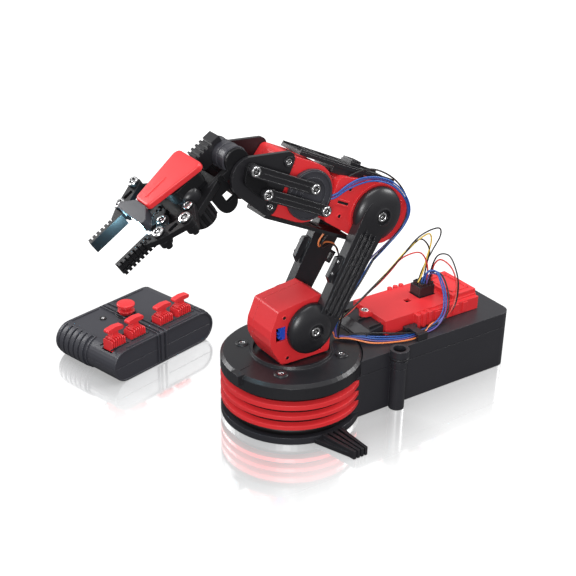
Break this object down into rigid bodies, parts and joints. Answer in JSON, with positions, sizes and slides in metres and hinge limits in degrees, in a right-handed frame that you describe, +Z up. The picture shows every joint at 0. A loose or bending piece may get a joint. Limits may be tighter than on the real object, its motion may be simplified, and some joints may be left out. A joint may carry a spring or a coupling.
{
  "type": "desktop robot arm kit",
  "caption": "Geared desktop robot arm with two-finger gripper on a round battery base, with a separate hand-held lever controller.",
  "frame": {"origin": "on the floor, on the turret axis under the round base", "axes": "+Z up along the turret axis; -Y forward, where the arm reaches at rest; +Y towards the back of the battery box; +X the arm's right side"},
  "size_m": [0.264, 0.3169, 0.2162],
  "materials": {
    "black_plastic": "satin",
    "charcoal_plastic": "satin",
    "red_plastic": "gloss",
    "blue_gear": "satin",
    "circuit_board": "satin",
    "motor_steel": "brushed",
    "cell_wrap": "gloss",
    "lens": "clear"
  },
  "bodies": {
    "base": {"base_tray": "black_plastic", "battery_lid": "black_plastic", "ring_cap": "black_plastic", "red_ring_band": "red_plastic", "leg_right": "black_plastic", "leg_left": "black_plastic", "battery_door": "black_plastic", "cell_front_right": "cell_wrap", "cell_front_left": "cell_wrap", "cell_rear_right": "cell_wrap", "cell_rear_left": "cell_wrap", "receiver_cover": "red_plastic", "receiver_board": "black_plastic", "yaw_gearbox": "black_plastic"},
    "turret": {"turntable": "black_plastic", "shoulder_housing_right": "red_plastic", "shoulder_housing_left": "red_plastic", "shoulder_motor": "motor_steel"},
    "shoulder_idler": {"shoulder_idler_gear": "blue_gear"},
    "upper_arm": {"upper_arm_plate_right": "black_plastic", "upper_arm_plate_left": "black_plastic", "shoulder_output_gear": "blue_gear", "elbow_output_gear": "blue_gear"},
    "forearm": {"elbow_housing_right": "red_plastic", "elbow_housing_left": "red_plastic", "wrist_housing_right": "red_plastic", "wrist_housing_left": "red_plastic", "elbow_motor": "motor_steel", "wrist_motor": "motor_steel", "top_rail": "black_plastic", "bottom_rail": "black_plastic", "wrist_plate_right": "black_plastic", "wrist_plate_left": "black_plastic"},
    "wrist_crank": {"crank_right": "charcoal_plastic", "crank_left": "charcoal_plastic"},
    "upper_rods": {"upper_rod_right": "black_plastic", "upper_rod_left": "black_plastic"},
    "lower_rods": {"lower_rod_right": "black_plastic", "lower_rod_left": "black_plastic"},
    "hand": {"hand_bracket": "black_plastic", "gripper_motor_housing": "charcoal_plastic", "gripper_motor_cap": "black_plastic", "gripper_gearbox": "black_plastic", "hand_cover": "red_plastic", "lamp_nose": "charcoal_plastic", "lamp_lens": "lens"},
    "drive_link_right": {"drive_link_right": "black_plastic"},
    "drive_link_left": {"drive_link_left": "black_plastic"},
    "idle_link_right": {"idle_link_right": "black_plastic"},
    "idle_link_left": {"idle_link_left": "black_plastic"},
    "finger_right": {"finger_right": "black_plastic"},
    "finger_left": {"finger_left": "black_plastic"},
    "controller": {"controller_top": "charcoal_plastic", "controller_bottom": "charcoal_plastic", "controller_board": "circuit_board"},
    "lever_1": {"lever_1": "red_plastic"},
    "lever_2": {"lever_2": "red_plastic"},
    "lever_3": {"lever_3": "red_plastic"},
    "lever_4": {"lever_4": "red_plastic"},
    "lever_round": {"lever_round": "red_plastic"}
  },
  "joints": [
    {"name": "turret_yaw", "type": "hinge", "parent": "base", "child": "turret", "pos_m": [0, 0, 0.043], "axis": [0, 0, 1], "range_deg": [-135, 135]},
    {"name": "shoulder", "type": "hinge", "parent": "turret", "child": "upper_arm", "pos_m": [0, 0.0036, 0.0714], "axis": [1, 0, 0], "range_deg": [-40, 54]},
    {"name": "shoulder_idler", "type": "hinge", "parent": "turret", "child": "shoulder_idler", "pos_m": [0, -0.0123, 0.0714], "axis": [1, 0, 0], "range_deg": [-62.7, 46.7]},
    {"name": "elbow", "type": "hinge", "parent": "upper_arm", "child": "forearm", "pos_m": [0, 0.0567, 0.1453], "axis": [-1, 0, 0], "range_deg": [-44, 184]},
    {"name": "wrist", "type": "hinge", "parent": "forearm", "child": "hand", "pos_m": [0, -0.04547, 0.19239], "axis": [1, 0, 0], "range_deg": [-102, 10]},
    {"name": "wrist_crank", "type": "hinge", "parent": "forearm", "child": "wrist_crank", "pos_m": [0, -0.00011, 0.17134], "axis": [1, 0, 0], "range_deg": [-102, 10]},
    {"name": "upper_rod_pivot", "type": "hinge", "parent": "wrist_crank", "child": "upper_rods", "pos_m": [0, -0.00048, 0.17768], "axis": [1, 0, 0], "range_deg": [-10, 102]},
    {"name": "lower_rod_pivot", "type": "hinge", "parent": "wrist_crank", "child": "lower_rods", "pos_m": [0, 0.00866, 0.16032], "axis": [1, 0, 0], "range_deg": [-10, 102]},
    {"name": "gripper", "type": "hinge", "parent": "hand", "child": "drive_link_right", "pos_m": [0.0106, -0.09421, 0.15951], "axis": [0, -0.5592, 0.829], "range_deg": [-53, 28]},
    {"name": "drive_link_left_pivot", "type": "hinge", "parent": "hand", "child": "drive_link_left", "pos_m": [-0.0106, -0.09421, 0.15951], "axis": [0, -0.5592, 0.829], "range_deg": [-28, 53]},
    {"name": "idle_link_right_pivot", "type": "hinge", "parent": "hand", "child": "idle_link_right", "pos_m": [0.0188, -0.08045, 0.1688], "axis": [0, -0.5592, 0.829], "range_deg": [-53, 28]},
    {"name": "idle_link_left_pivot", "type": "hinge", "parent": "hand", "child": "idle_link_left", "pos_m": [-0.0188, -0.08045, 0.1688], "axis": [0, -0.5592, 0.829], "range_deg": [-28, 53]},
    {"name": "finger_right_pivot", "type": "hinge", "parent": "drive_link_right", "child": "finger_right", "pos_m": [0.0258, -0.10143, 0.15465], "axis": [0, -0.5592, 0.829], "range_deg": [-28, 53]},
    {"name": "finger_left_pivot", "type": "hinge", "parent": "drive_link_left", "child": "finger_left", "pos_m": [-0.0258, -0.10143, 0.15465], "axis": [0, -0.5592, 0.829], "range_deg": [-53, 28]},
    {"name": "controller_lift", "type": "slide", "parent": "base", "child": "controller", "axis": [0, 0, 1], "range_m": [0, 0.03]},
    {"name": "lever_1_tilt", "type": "hinge", "parent": "controller", "child": "lever_1", "pos_m": [-0.10782, -0.0876, 0.022], "axis": [-0.9636, -0.2672, 0], "range_deg": [-12, 12]},
    {"name": "lever_2_tilt", "type": "hinge", "parent": "controller", "child": "lever_2", "pos_m": [-0.11325, -0.06804, 0.022], "axis": [-0.9636, -0.2672, 0], "range_deg": [-12, 12]},
    {"name": "lever_3_tilt", "type": "hinge", "parent": "controller", "child": "lever_3", "pos_m": [-0.121, -0.0401, 0.022], "axis": [-0.9636, -0.2672, 0], "range_deg": [-12, 12]},
    {"name": "lever_4_tilt", "type": "hinge", "parent": "controller", "child": "lever_4", "pos_m": [-0.12621, -0.02131, 0.022], "axis": [-0.9636, -0.2672, 0], "range_deg": [-12, 12]},
    {"name": "lever_round_tilt", "type": "hinge", "parent": "controller", "child": "lever_round", "pos_m": [-0.14641, -0.05887, 0.022], "axis": [-0.9636, -0.2672, 0], "range_deg": [-12, 12]}
  ],
  "couplings": [
    {"joint": "shoulder_idler", "follows": "shoulder", "ratio": -1.1429},
    {"joint": "wrist_crank", "follows": "wrist", "ratio": 1},
    {"joint": "upper_rod_pivot", "follows": "wrist", "ratio": -1},
    {"joint": "lower_rod_pivot", "follows": "wrist", "ratio": -1},
    {"joint": "drive_link_left_pivot", "follows": "gripper", "ratio": -1},
    {"joint": "idle_link_right_pivot", "follows": "gripper", "ratio": 1},
    {"joint": "idle_link_left_pivot", "follows": "gripper", "ratio": -1},
    {"joint": "finger_right_pivot", "follows": "gripper", "ratio": -1},
    {"joint": "finger_left_pivot", "follows": "gripper", "ratio": 1}
  ]
}
